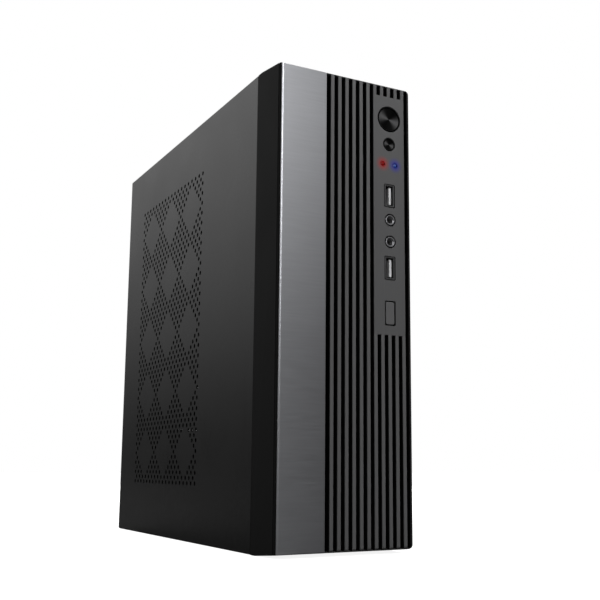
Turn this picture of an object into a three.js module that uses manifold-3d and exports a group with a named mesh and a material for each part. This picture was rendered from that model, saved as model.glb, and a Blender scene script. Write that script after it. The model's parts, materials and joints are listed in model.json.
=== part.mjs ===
// Desktop computer tower: a slim upright steel case behind a ribbed plastic front.
// Millimetres. X points right seen from the front, the front faces -Y, Z is up.
// The origin is the centre of the bottom of the whole object's box.

import * as THREE from 'three';
import { mergeVertices } from 'three/addons/utils/BufferGeometryUtils.js';
import Module from 'manifold-3d';

const wasm = await Module();
wasm.setup();

// Driving dimensions
const WIDTH = 100;
const CASE_DEPTH = 320;
const HEIGHT = 320;
const SCREW_HEAD = 6;          // thumbscrew heads stand this far behind the case
const SHEET = 1;               // thickness of the sheet metal
const GAP = 0.3;               // clearance between pieces that touch
const BEZEL_DEPTH = 35;
const BEZEL_STRAIGHT = 6;      // square stretch of the bezel next to the case
const TOP_INSET = 3.7;         // how far the bezel tapers in at the top of its front face
const BOTTOM_INSET = 2.5;
const BEZEL_WALL = 2.5;
const FRONT_WALL = 8;          // front wall of the bezel, grooves included
const TRIM_WIDTH = 35;
const TRIM_THICKNESS = 2.5;
const GROOVES = 12;
const GROOVE_PITCH = 5.54;
const GROOVE_WIDTH = 2.8;
const GROOVE_DEPTH = 6;
const GROOVE_RIM = 0.6;        // plastic left above and below each groove
const STRIP_GROOVES = [7, 8, 9, 10];   // grooves that the control strip interrupts
const STRIP_TOP = 308.6;
const STRIP_BOTTOM = 141.7;
const LIP = 10;                // reach of the side panel's folded lips

// Places worked out from them
const LEFT = -WIDTH / 2;
const RIGHT = WIDTH / 2;
const FRONT = -(CASE_DEPTH + SCREW_HEAD) / 2;
const REAR = FRONT + CASE_DEPTH;
const SEAM = FRONT + BEZEL_DEPTH;
const CASE_FRONT = SEAM + GAP;
const FACE_TOP = HEIGHT - TOP_INSET;
const TRIM_RIGHT = LEFT + TRIM_WIDTH;
const INSIDE_LEFT = LEFT + SHEET + GAP;
const INSIDE_RIGHT = RIGHT - SHEET - GAP;
const INSIDE_BOTTOM = SHEET + GAP;
const INSIDE_TOP = HEIGHT - SHEET - GAP;
const REAR_WALL = REAR - 2 * SHEET - GAP;      // inner face of the rear wall
const THROUGH = 20;                            // how far a cutter runs past what it cuts

// ---------------------------------------------------------------- shape helpers

// Closed three.js geometry -> manifold solid
function solid(geometry) {
  const bare = geometry.clone();
  bare.deleteAttribute('normal');
  bare.deleteAttribute('uv');
  const merged = mergeVertices(bare, 1e-4);
  const index = merged.index.array;
  const triangles = [];
  for (let i = 0; i < index.length; i += 3) {
    const [a, b, c] = index.slice(i, i + 3);
    if (a !== b && b !== c && c !== a) triangles.push(a, b, c);
  }
  return new wasm.Manifold(new wasm.Mesh({
    numProp: 3,
    vertProperties: merged.attributes.position.array,
    triVerts: Uint32Array.from(triangles),
  }));
}

// Manifold solid -> three.js geometry
function geometryOf(shape) {
  const mesh = shape.getMesh();
  const geometry = new THREE.BufferGeometry();
  geometry.setAttribute('position', new THREE.BufferAttribute(mesh.vertProperties, 3));
  geometry.setIndex(new THREE.BufferAttribute(mesh.triVerts, 1));
  geometry.computeVertexNormals();
  return geometry;
}

const joined = (shapes) => shapes.reduce((sum, shape) => sum.add(shape));
const without = (shape, cutters) => (cutters.length ? shape.subtract(joined(cutters)) : shape);

function block([x0, x1], [y0, y1], [z0, z1]) {
  const geometry = new THREE.BoxGeometry(x1 - x0, y1 - y0, z1 - z0);
  return solid(geometry.translate((x0 + x1) / 2, (y0 + y1) / 2, (z0 + z1) / 2));
}

// Turns a shape that was made along +Z so that it lies along the named axis
function alongAxis(geometry, axis) {
  if (axis === 'x') return geometry.rotateX(Math.PI / 2).rotateZ(Math.PI / 2);
  if (axis === 'y') return geometry.rotateX(Math.PI / 2).rotateZ(Math.PI);
  return geometry;
}

// Prism: outline in (y, z) along x, in (-x, z) along y, or in (x, y) along z
function prism(outline, axis, from, to, curveSegments = 4) {
  const shape = outline instanceof THREE.Shape
    ? outline
    : new THREE.Shape(outline.map(([u, v]) => new THREE.Vector2(u, v)));
  const geometry = new THREE.ExtrudeGeometry(shape, { depth: to - from, bevelEnabled: false, curveSegments });
  return solid(alongAxis(geometry.translate(0, 0, from), axis));
}

// Cylinder along an axis; the centre is given in the other two axes, in x, y, z order
function rod(axis, [u, v], radius, [from, to], sides = 24) {
  const geometry = new THREE.CylinderGeometry(radius, radius, to - from, sides);
  const middle = (from + to) / 2;
  if (axis === 'x') return solid(geometry.rotateZ(Math.PI / 2).translate(middle, u, v));
  if (axis === 'y') return solid(geometry.translate(u, middle, v));
  return solid(geometry.rotateX(Math.PI / 2).translate(u, v, middle));
}

// Turned piece about Y; the profile is [radius, y] pairs from one end of the axis to the other
function turned(profile, sides = 32) {
  const points = profile.map(([radius, y]) => new THREE.Vector2(radius, y));
  return solid(new THREE.LatheGeometry(points, sides));
}

function roundedOutline([u0, u1], [v0, v1], [lowLeft, lowRight, highRight, highLeft]) {
  const shape = new THREE.Shape();
  shape.moveTo(u0 + lowLeft, v0);
  shape.lineTo(u1 - lowRight, v0);
  if (lowRight) shape.absarc(u1 - lowRight, v0 + lowRight, lowRight, -Math.PI / 2, 0);
  shape.lineTo(u1, v1 - highRight);
  if (highRight) shape.absarc(u1 - highRight, v1 - highRight, highRight, 0, Math.PI / 2);
  shape.lineTo(u0 + highLeft, v1);
  if (highLeft) shape.absarc(u0 + highLeft, v1 - highLeft, highLeft, Math.PI / 2, Math.PI);
  shape.lineTo(u0, v0 + lowLeft);
  if (lowLeft) shape.absarc(u0 + lowLeft, v0 + lowLeft, lowLeft, Math.PI, Math.PI * 1.5);
  return shape;
}

// Upright block with its four edges along Y rounded
function roundedBlock([x0, x1], [y0, y1], [z0, z1], radius) {
  const outline = roundedOutline([-x1, -x0], [z0, z1], Array(4).fill(radius));
  return prism(outline, 'y', y0, y1, 3);
}

const centred = (middle, size) => [middle - size / 2, middle + size / 2];

// ---------------------------------------------------------------- finishes

const finish = (color, roughness, metalness) => () =>
  new THREE.MeshStandardMaterial({ color, roughness, metalness, flatShading: true });

const bezelPlastic = finish('#4a4a4b', 0.5, 0);
const trimMetal = finish('#8d9096', 0.35, 0.8);
const spunMetal = finish('#1c1c1d', 0.3, 0.7);
const casePaint = finish('#38393b', 0.6, 0.2);
const zincSteel = finish('#9a9c9e', 0.45, 0.8);
const stainless = finish('#b9bbbd', 0.3, 0.9);
const blackPlastic = finish('#161617', 0.5, 0);
const boardGreen = finish('#1d3b2a', 0.55, 0.1);
const aluminium = finish('#b4b7ba', 0.4, 0.9);
const redLens = finish('#a3161c', 0.2, 0);
const blueLens = finish('#2f62d8', 0.2, 0);
const chipBlack = finish('#202123', 0.6, 0);
const cableBlack = finish('#1a1a1a', 0.7, 0);

// ---------------------------------------------------------------- scene graph

const tower = new THREE.Group();

function assembly(parent = tower) {
  const group = new THREE.Group();
  parent.add(group);
  return group;
}

function place(group, name, shape, material, position = [0, 0, 0], rotation = [0, 0, 0]) {
  const mesh = new THREE.Mesh(geometryOf(shape), material());
  mesh.name = name;
  mesh.position.set(...position);
  mesh.rotation.set(...rotation);
  group.add(mesh);
}

// ---------------------------------------------------------------- front bezel

const CONTROL_X = 33.7;                        // centre line of the controls
const POWER_BUTTON = { z: 292.5, radius: 8.8 };
const RESET_BUTTON = { z: 274.3, radius: 4.4 };
const BUTTON_CLEARANCE = 0.35;
const LED = { z: 259.9, radius: 1.4, drive: 28.4, power: 38.4 };
const USB = { width: 8.1, height: 15.8, upper: 237.65, lower: 187.25 };
const JACK = { radius: 3.6, hole: 4.35, headphone: 220.6, microphone: 205.4, x: 34.2 };
const BLANK = { width: 7.8, height: 16.2, z: 156.45 };
const PORT_CLEARANCE = 0.35;
const CORNER = 3;                              // rounding of the two right corners of the front
const CORNER_STEPS = 5;
const STRIP_WALL = 2.5;
const TAB = { x: 30, width: 10, thickness: 2, reach: 5, notch: 5 };

// Straight next to the case, then tapering to the front face; the right corners are rounded
function bezelEnvelope() {
  const outlineAt = (y, low, high) =>
    roundedOutline([LEFT, RIGHT], [low, high], [0, CORNER, CORNER, 0]).getPoints(CORNER_STEPS)
      .map((corner) => [corner.x, y, corner.y]);
  return wasm.Manifold.hull([
    ...outlineAt(FRONT, BOTTOM_INSET, FACE_TOP),
    ...outlineAt(SEAM - BEZEL_STRAIGHT, 0, HEIGHT),
    ...outlineAt(SEAM, 0, HEIGHT),
  ]);
}

function bezelHollow() {
  const wall = BEZEL_WALL;
  const profile = [
    [SEAM + 1, wall], [SEAM + 1, HEIGHT - wall], [SEAM - BEZEL_STRAIGHT, HEIGHT - wall],
    [FRONT + FRONT_WALL, FACE_TOP - wall], [FRONT + FRONT_WALL, BOTTOM_INSET + wall],
    [SEAM - BEZEL_STRAIGHT, wall],
  ];
  return prism(profile, 'x', LEFT + wall, RIGHT - wall);
}

const grooveLeft = (k) => TRIM_RIGHT + k * GROOVE_PITCH;

function grooveCutters() {
  const low = BOTTOM_INSET + GROOVE_RIM;
  const high = FACE_TOP - GROOVE_RIM;
  const cutters = [];
  for (let k = 0; k < GROOVES; k += 1) {
    const x = [grooveLeft(k), grooveLeft(k) + GROOVE_WIDTH];
    const stretches = STRIP_GROOVES.includes(k) ? [[low, STRIP_BOTTOM], [STRIP_TOP, high]] : [[low, high]];
    stretches.forEach((z) => cutters.push(block(x, [FRONT - THROUGH, FRONT + GROOVE_DEPTH], z)));
  }
  return cutters;
}

// Air slots in the floors of the grooves that run from top to bottom
function intakeSlots() {
  const rows = 4;
  const tie = 8;
  const low = 16;
  const step = (FACE_TOP - 2 * low) / rows;
  const inset = 0.5;
  const cutters = [];
  for (let k = 0; k < STRIP_GROOVES[0]; k += 1) {
    for (let row = 0; row < rows; row += 1) {
      const z = low + row * step;
      cutters.push(block(
        [grooveLeft(k) + inset, grooveLeft(k) + GROOVE_WIDTH - inset],
        [FRONT - THROUGH, FRONT + FRONT_WALL + 1], [z, z + step - tie]));
    }
  }
  return cutters;
}

const stripLeft = grooveLeft(STRIP_GROOVES[0] - 1) + GROOVE_WIDTH;
const stripRight = grooveLeft(GROOVES - 1);

// Openings in the control strip, and the pocket behind it that thins its wall
function controlCutters() {
  const through = [FRONT - THROUGH, FRONT + FRONT_WALL + 1];
  const port = (size, z, x = CONTROL_X) => roundedBlock(
    centred(x, size.width + 2 * PORT_CLEARANCE), through,
    centred(z, size.height + 2 * PORT_CLEARANCE), 1);
  const hole = (x, z, radius) => rod('y', [x, z], radius, through, 32);
  return [
    block([stripLeft + 1.5, stripRight - 1.5], [FRONT + STRIP_WALL, FRONT + FRONT_WALL + 1],
      [STRIP_BOTTOM + 2, STRIP_TOP - 2]),
    hole(CONTROL_X, POWER_BUTTON.z, POWER_BUTTON.radius + BUTTON_CLEARANCE),
    hole(CONTROL_X, RESET_BUTTON.z, RESET_BUTTON.radius + BUTTON_CLEARANCE),
    hole(LED.drive, LED.z, LED.radius + GAP),
    hole(LED.power, LED.z, LED.radius + GAP),
    hole(JACK.x, JACK.headphone, JACK.hole),
    hole(JACK.x, JACK.microphone, JACK.hole),
    port(USB, USB.upper),
    port(USB, USB.lower),
    port(BLANK, BLANK.z),
  ];
}

// Recess for the metal trim, with a pocket behind it
function trimCutters() {
  return [
    block([LEFT - 1, TRIM_RIGHT], [FRONT - 1, FRONT + TRIM_THICKNESS + GAP], [-1, HEIGHT + 1]),
    block([LEFT + BEZEL_WALL, TRIM_RIGHT - 2],
      [FRONT + TRIM_THICKNESS + GAP + BEZEL_WALL, FRONT + FRONT_WALL + 1],
      [BOTTOM_INSET + BEZEL_WALL, FACE_TOP - BEZEL_WALL]),
  ];
}

// Snap tabs that reach through the front wall of the chassis
function snapTabs() {
  const tabs = [];
  for (const x of [-TAB.x, TAB.x]) {
    for (const z of [BEZEL_WALL - 0.5, HEIGHT - BEZEL_WALL - TAB.thickness + 0.5]) {
      const y = [SEAM - BEZEL_STRAIGHT, SEAM + TAB.reach];
      tabs.push(block(centred(x, TAB.width), y, [z, z + TAB.thickness]));
    }
  }
  return tabs;
}

const FRONT_BOARD = { y: FRONT + 16, thickness: 1.6, x: [23, 46], z: [146, 303] };
const BOSSES = [[26.5, 170], [26.5, 281.5]];

// Screw bosses that carry the front board
function boardBosses() {
  return BOSSES.map(([x, z]) => rod('y', [x, z], 2.5, [FRONT + STRIP_WALL - 0.5, FRONT_BOARD.y - GAP], 12));
}

function frontBezel() {
  const shell = without(bezelEnvelope(),
    [bezelHollow(), ...grooveCutters(), ...intakeSlots(), ...controlCutters(), ...trimCutters()]);
  return joined([shell, ...snapTabs(), ...boardBosses()]);
}

// Flat metal trim with a rounded outer edge, shaped to the bezel's taper
function bezelTrim() {
  const edge = 1.8;
  const outline = roundedOutline([LEFT, TRIM_RIGHT - GAP], [FRONT, FRONT + TRIM_THICKNESS], [edge, 0, 0, 0]);
  return prism(outline, 'z', -1, HEIGHT + 1).intersect(bezelEnvelope());
}

// Button cap with a stem and a flange behind the wall, about Y, face at y = 0
function buttonShape(radius) {
  const wallBack = STRIP_WALL + GAP;
  const flange = radius + 1.2;
  const stem = 2.2;
  const stemEnd = 10.7;
  return turned([
    [0, 0], [radius - 0.8, 0], [radius, 0.6], [radius, wallBack], [flange, wallBack],
    [flange, wallBack + 1.2], [stem, wallBack + 1.2], [stem, stemEnd], [0, stemEnd],
  ]);
}

const lensShape = () => turned([[0, 0], [LED.radius, 0.4], [LED.radius, 15.4], [0, 15.4]], 16);

const PORT_LENGTH = FRONT_BOARD.y - GAP - FRONT;

// Upright USB socket: a tube with a back wall
function usbShell() {
  const cavity = block(centred(0, 5.4), [-1, PORT_LENGTH - 2], centred(0, 13.4));
  return roundedBlock(centred(0, USB.width), [0, PORT_LENGTH], centred(0, USB.height), 0.8).subtract(cavity);
}

// Its contact tongue, which stands towards the right of the slot
const usbTongue = () => block([-0.3, 1.9], [0.8, PORT_LENGTH - 2 - GAP], centred(0, 12));

// Audio jack: a threaded barrel with a blind 3.6 mm hole
function jackShape() {
  const bore = 1.8;
  return turned([
    [0, 13], [bore, 13], [bore, 0.9], [bore + 0.5, 0.2], [JACK.radius - 0.4, 0], [JACK.radius, 0.4],
    [JACK.radius, PORT_LENGTH], [0, PORT_LENGTH],
  ], 24);
}

// Circuit board behind the controls, with a push switch soldered behind each button
function frontBoard() {
  const y = [FRONT_BOARD.y, FRONT_BOARD.y + FRONT_BOARD.thickness];
  const switches = [POWER_BUTTON.z, RESET_BUTTON.z].flatMap((z) => [
    block(centred(CONTROL_X, 6), [y[0] - 2, y[0] + 0.5], centred(z, 6)),
    rod('y', [CONTROL_X, z], 1.6, [y[0] - 3.5, y[0] - 1], 16),
  ]);
  return joined([block(FRONT_BOARD.x, y, FRONT_BOARD.z), ...switches]);
}

function buildFront() {
  const front = assembly();
  place(front, 'front_bezel', frontBezel(), bezelPlastic);
  place(front, 'bezel_trim', bezelTrim(), trimMetal);
  const controls = assembly(front);
  controls.position.set(CONTROL_X, FRONT, 0);
  place(controls, 'power_button', buttonShape(POWER_BUTTON.radius), spunMetal, [0, 0, POWER_BUTTON.z]);
  place(controls, 'reset_button', buttonShape(RESET_BUTTON.radius), spunMetal, [0, 0, RESET_BUTTON.z]);
  place(front, 'drive_led_lens', lensShape(), redLens, [LED.drive, FRONT, LED.z]);
  place(front, 'power_led_lens', lensShape(), blueLens, [LED.power, FRONT, LED.z]);
  for (const level of ['upper', 'lower']) {
    place(front, `front_usb_${level}`, usbShell(), blackPlastic, [CONTROL_X, FRONT, USB[level]]);
    place(front, `front_usb_${level}_tongue`, usbTongue(), stainless, [CONTROL_X, FRONT, USB[level]]);
  }
  for (const kind of ['headphone', 'microphone']) {
    place(front, `${kind}_jack`, jackShape(), zincSteel, [JACK.x, FRONT, JACK[kind]]);
  }
  const blank = roundedBlock(centred(0, BLANK.width), [0, 4], centred(0, BLANK.height), 1);
  place(front, 'port_blank', blank, bezelPlastic, [CONTROL_X, FRONT, BLANK.z]);
  place(front, 'front_io_board', frontBoard(), boardGreen);
}

// ---------------------------------------------------------------- sheet-metal case

const SLOTS = { count: 4, first: 16, pitch: 20.32, width: 13, x: [-30, 36] };
const SHIELD = { x: [-0.6, 43.9], z: [88, 247] };
const SUPPLY = { x: [-37, 48], y: [REAR_WALL - 0.7 - 175, REAR_WALL - 0.7], z: [252.5, 317.5] };
const THUMBSCREW = { x: -43.5, levels: { upper: 300, lower: 20 }, hole: 2.3, shank: 1.8, head: 5 };
const BOARD = { size: 244, thickness: 1.6, z: 6, rear: REAR_WALL - 0.7 };
BOARD.back = INSIDE_RIGHT - 5.7;
BOARD.face = BOARD.back - BOARD.thickness;
BOARD.front = BOARD.rear - BOARD.size;
const ON_BOARD = BOARD.face - GAP;             // where pieces on the board start
const IO_CABLE_HOLE = { x: 26, z: 70, width: 14, height: 18 };

const LIP_LEVELS = [
  [INSIDE_BOTTOM + GAP, INSIDE_BOTTOM + GAP + SHEET],
  [INSIDE_TOP - GAP - SHEET, INSIDE_TOP - GAP],
];

const slotLevel = (k) => SLOTS.first + k * SLOTS.pitch;

function chassisFrontWall() {
  const y = [CASE_FRONT, CASE_FRONT + SHEET];
  const through = [y[0] - 1, y[1] + 1];
  const cutters = [block(centred(IO_CABLE_HOLE.x, IO_CABLE_HOLE.width), through,
    centred(IO_CABLE_HOLE.z, IO_CABLE_HOLE.height))];
  const window = { x: [-42, 13], height: 88, count: 3, step: 98, first: 62 };
  for (let row = 0; row < window.count; row += 1) {
    cutters.push(block(window.x, through, centred(window.first + row * window.step, window.height)));
  }
  for (const x of [-TAB.x, TAB.x]) {
    cutters.push(block(centred(x, TAB.width + 2), through, [0, TAB.notch]));
    cutters.push(block(centred(x, TAB.width + 2), through, [HEIGHT - TAB.notch, HEIGHT]));
  }
  return without(block([INSIDE_LEFT, INSIDE_RIGHT], y, [INSIDE_BOTTOM, INSIDE_TOP]), cutters);
}

function chassisRearWall() {
  const y = [REAR_WALL, REAR_WALL + SHEET];
  const through = [y[0] - 1, y[1] + 1];
  const frame = 3;
  const cutters = [
    block(SHIELD.x, through, SHIELD.z),
    block([SUPPLY.x[0] + frame, SUPPLY.x[1] - frame], through, [SUPPLY.z[0] + frame, SUPPLY.z[1] - frame]),
  ];
  for (let k = 0; k < SLOTS.count; k += 1) {
    cutters.push(block(SLOTS.x, through, centred(slotLevel(k), SLOTS.width)));
  }
  const vent = { x: [-34, -5], height: 5, pitch: 10, first: 98, rows: 15 };
  for (let row = 0; row < vent.rows; row += 1) {
    cutters.push(block(vent.x, through, centred(vent.first + row * vent.pitch, vent.height)));
  }
  for (const z of Object.values(THUMBSCREW.levels)) {
    cutters.push(rod('y', [THUMBSCREW.x, z], THUMBSCREW.hole, through, 16));
  }
  const notch = [LEFT, LEFT + LIP + 0.5];
  cutters.push(block(notch, through, [0, LIP_LEVELS[0][1] + 0.5]));
  cutters.push(block(notch, through, [LIP_LEVELS[1][0] - 0.5, HEIGHT]));
  return without(block([INSIDE_LEFT, INSIDE_RIGHT], y, [INSIDE_BOTTOM, INSIDE_TOP]), cutters);
}

// Removable left panel: a skin whose folded lips slide along the floor and the top,
// through the notches of the rear wall, and a rear flange for the thumbscrews
function sidePanel() {
  const lipRun = [CASE_FRONT + 2 * SHEET, REAR - SHEET / 2];
  const lips = LIP_LEVELS.map((z) => block([LEFT, LEFT + LIP], lipRun, z));
  const shape = joined([
    block([LEFT, LEFT + SHEET], [CASE_FRONT, REAR], [0.5, HEIGHT - GAP]),
    block([LEFT, LEFT + LIP + 2], [REAR - SHEET, REAR], [INSIDE_BOTTOM + GAP, INSIDE_TOP - GAP]),
    ...lips,
  ]);
  const holes = Object.values(THUMBSCREW.levels).map((z) =>
    rod('y', [THUMBSCREW.x, z], THUMBSCREW.hole, [REAR - 2, REAR + 1], 16));
  return without(shape, holes);
}

function thumbscrew() {
  const { head, shank } = THUMBSCREW;
  const flutes = 10;
  const bevel = 0.8;
  const knob = turned([
    [0, GAP], [head, GAP], [head, SCREW_HEAD - bevel], [head - bevel, SCREW_HEAD], [0, SCREW_HEAD],
  ]);
  const cutters = [];
  for (let i = 0; i < flutes; i += 1) {
    const angle = (i / flutes) * 2 * Math.PI;
    cutters.push(rod('y', [head * Math.cos(angle), head * Math.sin(angle)], 0.6, [-1, SCREW_HEAD + 1], 8));
  }
  return without(knob, cutters).add(rod('y', [0, 0], shank, [-8, 1], 16));
}

// Right side sheet with the four raised posts that carry the motherboard
function chassisRightSide() {
  const inset = 8;
  const skin = block([RIGHT - SHEET, RIGHT], [CASE_FRONT, REAR], [0, HEIGHT]);
  const posts = [BOARD.front + inset, BOARD.rear - inset].flatMap((y) =>
    [BOARD.z + inset, BOARD.z + BOARD.size - inset].map((z) =>
      rod('x', [y, z], 3, [BOARD.back + GAP, RIGHT - SHEET / 2], 12)));
  return joined([skin, ...posts]);
}

function buildCase() {
  const chassis = assembly();
  const y = [CASE_FRONT, REAR];
  const flat = [INSIDE_LEFT, INSIDE_RIGHT];
  place(chassis, 'chassis_floor', block(flat, y, [0, SHEET]), casePaint);
  place(chassis, 'chassis_top', block(flat, y, [HEIGHT - SHEET, HEIGHT]), casePaint);
  place(chassis, 'chassis_right_side', chassisRightSide(), casePaint);
  place(chassis, 'chassis_front_wall', chassisFrontWall(), zincSteel);
  place(chassis, 'chassis_rear_wall', chassisRearWall(), casePaint);
  const cover = assembly();
  place(cover, 'side_panel', sidePanel(), casePaint);
  for (const [level, z] of Object.entries(THUMBSCREW.levels)) {
    place(cover, `thumbscrew_${level}`, thumbscrew(), stainless, [THUMBSCREW.x, REAR, z]);
  }
}

// ---------------------------------------------------------------- expansion slots

const BRACKET_LEFT = -38;
const BRACKET_FOLD = 12;

function slotCover() {
  const z = centred(0, 18.4);
  const foldDepth = [REAR_WALL - BRACKET_FOLD, REAR_WALL - GAP];
  const plate = block([BRACKET_LEFT + SHEET, 41], [REAR_WALL - GAP - SHEET, REAR_WALL - GAP], z);
  return plate.add(block([BRACKET_LEFT, BRACKET_LEFT + SHEET], foldDepth, z));
}

function buildSlots() {
  const slots = assembly();
  for (let k = 0; k < SLOTS.count; k += 1) {
    place(slots, `slot_cover_${k + 1}`, slotCover(), casePaint, [0, 0, slotLevel(k)]);
  }
  const clamp = block([BRACKET_LEFT - 2, BRACKET_LEFT - GAP], [REAR_WALL - BRACKET_FOLD, REAR_WALL - GAP],
    [slotLevel(0) - SLOTS.pitch / 2, slotLevel(SLOTS.count - 1) + SLOTS.pitch / 2]);
  place(slots, 'slot_clamp', clamp, zincSteel);
}

// ---------------------------------------------------------------- motherboard

const COOLER = { y: 40, z: 170, size: 90 };
const MEMORY = { y: [-61, -51], z: 173, length: 133.35, height: 28.5, thickness: 1.2, seat: 3 };
const MEMORY_CHIP = { count: 8, pitch: 16, length: 10, height: 12, thickness: 1 };
const MEMORY_SOCKET = { length: 140, width: 6.5, height: 8 };

// Connectors on the board: name, height, then y and z spans
const CONNECTORS = [
  ['power_connector', 12, [-86, -76], [160, 212]],
  ['graphics_slot', 11, [60, 149], centred(slotLevel(3), 7.5)],
  ['expansion_slot', 11, [124, 149], centred(slotLevel(1), 7.5)],
];

// Piece standing on the board: height out of the board, then its y and z spans
const onBoard = (height, y, z) => block([ON_BOARD - height, ON_BOARD], y, z);

// Comb of cooling fins on a base; the fins stand in -X and run along Z
function heatsink(base, height, y, z, fins) {
  const plate = 4;
  const spaceShare = 0.6;
  const pitch = (y[1] - y[0]) / fins;
  const cutters = [];
  for (let i = 0; i < fins; i += 1) {
    const space = centred(y[0] + (i + 0.5) * pitch, spaceShare * pitch);
    cutters.push(block([base - height - 1, base - plate], space, [z[0] - 1, z[1] + 1]));
  }
  return without(block([base - height, base], y, z), cutters);
}

// Square fan housing about Z: a duct, with the motor held by four struts on its far face
function fanFrame(size, thickness, duct, motor) {
  const strut = 2;
  const housing = block(centred(0, size), centred(0, size), [0, thickness])
    .subtract(rod('z', [0, 0], duct, [-1, thickness + 1], 40));
  const far = [thickness - strut, thickness];
  const arms = [
    block(centred(0, 2 * duct + 1), centred(0, 4), far),
    block(centred(0, 4), centred(0, 2 * duct + 1), far),
  ];
  return joined([housing, ...arms, rod('z', [0, 0], motor, far, 24)]);
}

// Hub with pitched blades about Z, from z = 0 to thickness
function fanRotor(hub, tip, thickness, blades) {
  const shapes = [rod('z', [0, 0], hub, [0, thickness], 24)];
  const pitch = Math.PI / 4;
  const chord = (thickness - 3) / Math.sin(pitch);
  for (let i = 0; i < blades; i += 1) {
    const blade = new THREE.BoxGeometry(tip - hub + 3, chord, 1.4);
    blade.rotateX(pitch).translate((tip + hub - 3) / 2, 0, thickness / 2).rotateZ((i / blades) * 2 * Math.PI);
    shapes.push(solid(blade));
  }
  return joined(shapes).intersect(rod('z', [0, 0], tip, [0, thickness], 32));
}

// Module standing edge-on in its socket, chips towards +Y; the board's face is at x = 0
function memoryModule() {
  const { length, height, thickness, seat } = MEMORY;
  const chip = MEMORY_CHIP;
  const board = block([-seat - height, -seat], centred(0, thickness), centred(0, length));
  const chips = [];
  for (let i = 0; i < chip.count; i += 1) {
    const level = (i - (chip.count - 1) / 2) * chip.pitch;
    chips.push(block(centred(-seat - height / 2, chip.height), [0, thickness / 2 + chip.thickness],
      centred(level, chip.length)));
  }
  return joined([board, ...chips]);
}

function memorySocket() {
  const { length, width, height } = MEMORY_SOCKET;
  const groove = block([-height - 1, GAP - MEMORY.seat], centred(0, MEMORY.thickness + 2 * GAP),
    centred(0, MEMORY.length + 2 * GAP));
  return block([-height, 0], centred(0, width), centred(0, length)).subtract(groove);
}

// Metal port block at the rear of the board, with sockets cut into its rear face;
// a socket is its middle's height over the board, then its size across, up and deep
const PORT = { y: [REAR_WALL - 16, REAR_WALL + 1.8] };

function rearPort(z, width, height, sockets) {
  const cutters = sockets.map(([x, across, up, depth]) => block(
    centred(ON_BOARD - x, across), [PORT.y[1] - depth, PORT.y[1] + 1], centred(z, up)));
  return without(onBoard(height, PORT.y, centred(z, width)), cutters);
}

// USB socket as four cuts around its tongue: the tongue stays as part of the block
function usbSockets(levels) {
  const [offset, across, up, depth] = [1.75, 1.5, 12, 10];
  return levels.flatMap((x) => [[x - offset, across, up, depth], [x + offset, across, up, depth]]);
}

const REAR_PORTS = {
  rear_video_port: { z: 232, width: 18, height: 7, sockets: [[3.5, 4.6, 14, 10]] },
  rear_usb_ports_upper: { z: 208, width: 15, height: 16, sockets: usbSockets([4, 12]) },
  rear_usb_ports_lower: { z: 187, width: 15, height: 16, sockets: usbSockets([4, 12]) },
  rear_network_port: { z: 163, width: 17, height: 14, sockets: [[7, 8, 12, 12]] },
  rear_audio_ports: { z: 135, width: 12, height: 34, sockets: [6, 17, 28].map((x) => [x, 3.6, 3.6, 10]) },
};

function ioShield() {
  const y = [REAR_WALL + 0.2, REAR_WALL + 0.9];
  const plate = block([SHIELD.x[0] + GAP, SHIELD.x[1] - GAP], y, [SHIELD.z[0] + GAP, SHIELD.z[1] - GAP]);
  const cutters = Object.values(REAR_PORTS).map(({ z, width, height }) => block(
    [ON_BOARD - height - GAP, ON_BOARD + GAP], [y[0] - 1, y[1] + 1], centred(z, width + 2 * GAP)));
  return without(plate, cutters);
}

function buildBoard() {
  const board = assembly();
  const { y, z, size } = COOLER;
  place(board, 'motherboard',
    block([BOARD.face, BOARD.back], [BOARD.front, BOARD.rear], [BOARD.z, BOARD.z + BOARD.size]), boardGreen);

  const socket = { size: 45, height: 6 };
  place(board, 'processor_socket', onBoard(socket.height, centred(y, socket.size), centred(z, socket.size)),
    chipBlack);
  const sinkBase = ON_BOARD - socket.height - GAP;
  const sinkHeight = 30;
  const sink = heatsink(sinkBase, sinkHeight, centred(y, size), centred(z, size), 15);
  place(board, 'cpu_heatsink', sink, aluminium);
  const fanFace = sinkBase - sinkHeight - GAP;
  const fan = { thickness: 25, duct: 43, tip: 42, motor: 19, hub: 18 };
  const alongX = [0, Math.PI / 2, 0];
  place(board, 'cpu_fan_frame', fanFrame(92, fan.thickness, fan.duct, fan.motor), blackPlastic,
    [fanFace - fan.thickness, y, z], alongX);
  place(board, 'cpu_fan_rotor', fanRotor(fan.hub, fan.tip, fan.thickness - 4, 7), blackPlastic,
    [fanFace - fan.thickness + 1.5, y, z], alongX);

  MEMORY.y.forEach((row, i) => {
    const seat = [ON_BOARD, row, MEMORY.z];
    place(board, `memory_socket_${i + 1}`, memorySocket(), blackPlastic, seat);
    place(board, `memory_module_${i + 1}`, memoryModule(), boardGreen, seat);
  });
  for (const [name, height, along, up] of CONNECTORS) {
    place(board, name, onBoard(height, along, up), blackPlastic);
  }
  place(board, 'storage_module', block([ON_BOARD - 4, ON_BOARD - 2], [0, 80], [92, 114]), chipBlack);
  place(board, 'clock_battery', rod('x', [100, 56], 10, [ON_BOARD - 4, ON_BOARD], 24), stainless);
  place(board, 'chipset_heatsink', heatsink(ON_BOARD, 11, [-40, -5], [40, 75], 7), aluminium);

  place(board, 'io_shield', ioShield(), stainless);
  for (const [name, port] of Object.entries(REAR_PORTS)) {
    place(board, name, rearPort(port.z, port.width, port.height, port.sockets), zincSteel);
  }
}

// ---------------------------------------------------------------- power supply

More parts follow.
